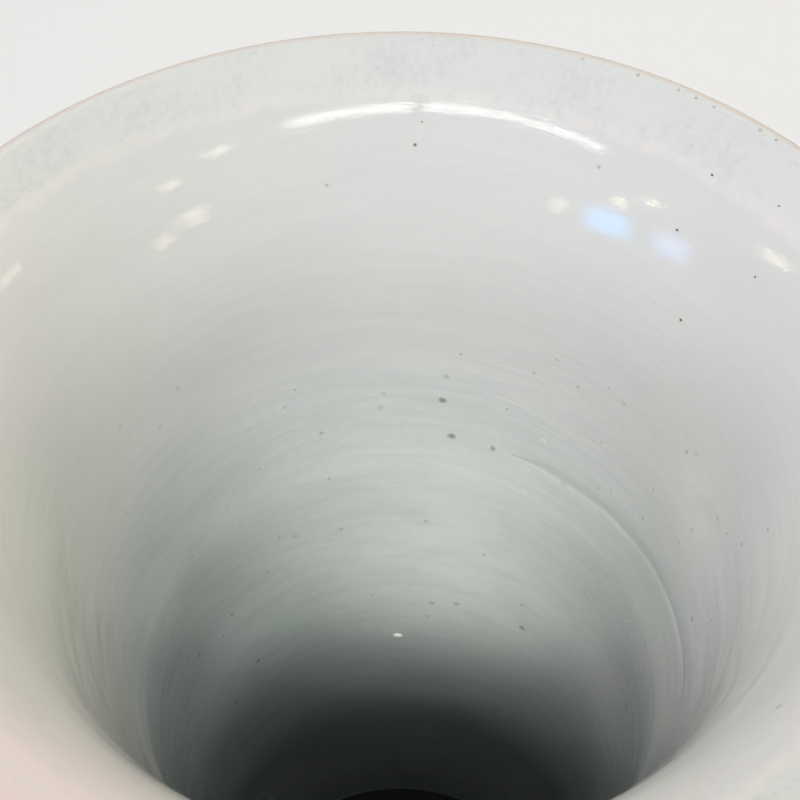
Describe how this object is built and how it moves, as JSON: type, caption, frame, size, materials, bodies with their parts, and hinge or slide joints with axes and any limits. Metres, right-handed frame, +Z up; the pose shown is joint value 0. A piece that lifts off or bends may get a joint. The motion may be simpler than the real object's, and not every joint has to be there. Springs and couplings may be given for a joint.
{
  "type": "gu vase",
  "caption": "Tall porcelain vase with a trumpet mouth, bulged middle and spreading foot, open at the top, standing on a bare foot ring.",
  "frame": {"origin": "centre of the plane that the foot ring stands on", "axes": "+Z up along the axis that the vase is turned about; +X and +Y are any two level directions at right angles"},
  "size_m": [0.206, 0.206, 0.42],
  "materials": {
    "glaze": "glossy bluish-white glaze over white porcelain, with fine iron specks and throwing rings; the foot ring is bare biscuit",
    "biscuit": "fired porcelain without glaze, dry and matte: the luting slip, and the bare foot ring in the visual model"
  },
  "bodies": {
    "root": {"mouth_section": "glaze", "upper_luting_slip": "biscuit", "knop_section": "glaze", "lower_luting_slip": "biscuit", "foot_section": "glaze"}
  },
  "joints": []
}
